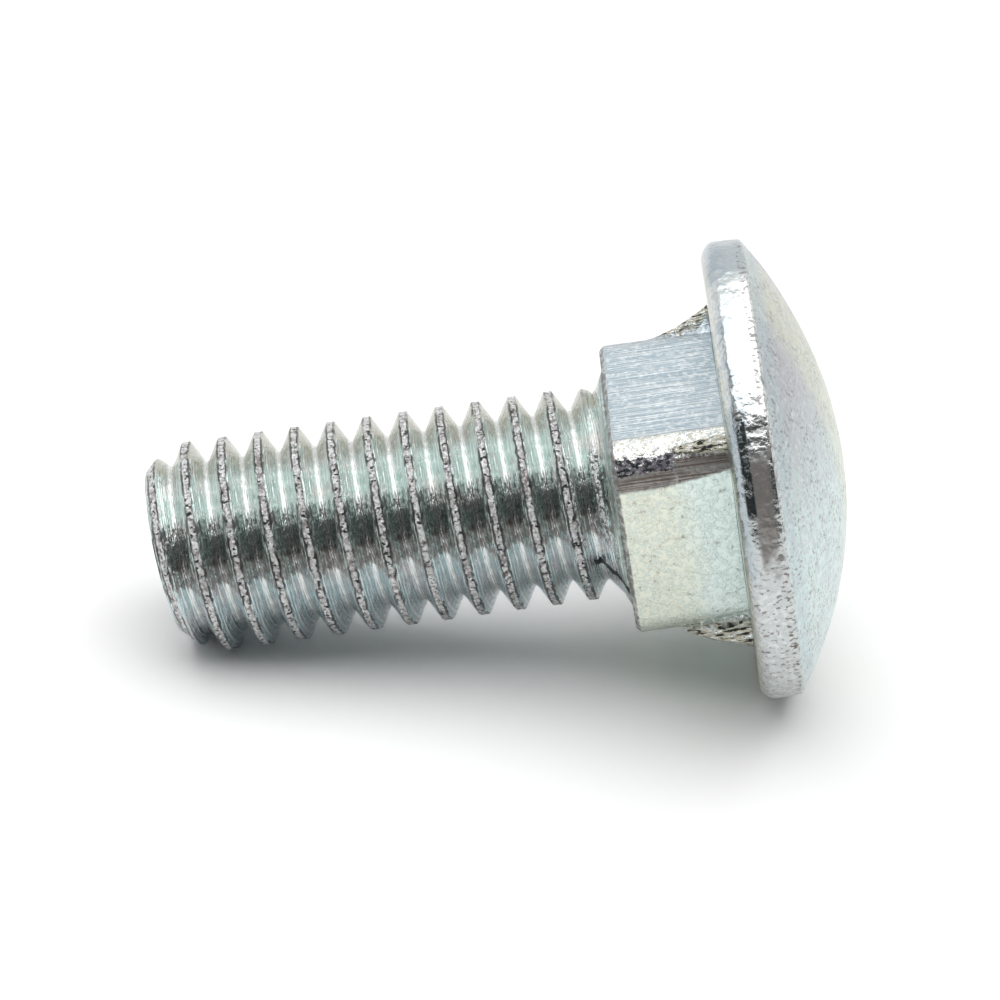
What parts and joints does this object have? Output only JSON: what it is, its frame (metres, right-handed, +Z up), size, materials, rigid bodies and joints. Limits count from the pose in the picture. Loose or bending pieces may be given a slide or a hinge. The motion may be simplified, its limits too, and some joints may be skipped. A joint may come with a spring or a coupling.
{
  "type": "carriage bolt",
  "caption": "Fully threaded steel bolt with a domed round head over a square neck with flared corners.",
  "frame": {"origin": "middle of the laid bolt's box in X and Y, on the surface that it lies on", "axes": "the bolt lies on its side with its head towards +X, its axis in the XZ plane and rising towards the head; +Z is up"},
  "size_m": [0.0304, 0.0196, 0.0195],
  "materials": {
    "zinc_plate": "bright zinc plate, glossy in the thread and finely scratched on the neck"
  },
  "bodies": {
    "root": {"carriage_bolt": "zinc_plate"}
  },
  "joints": []
}
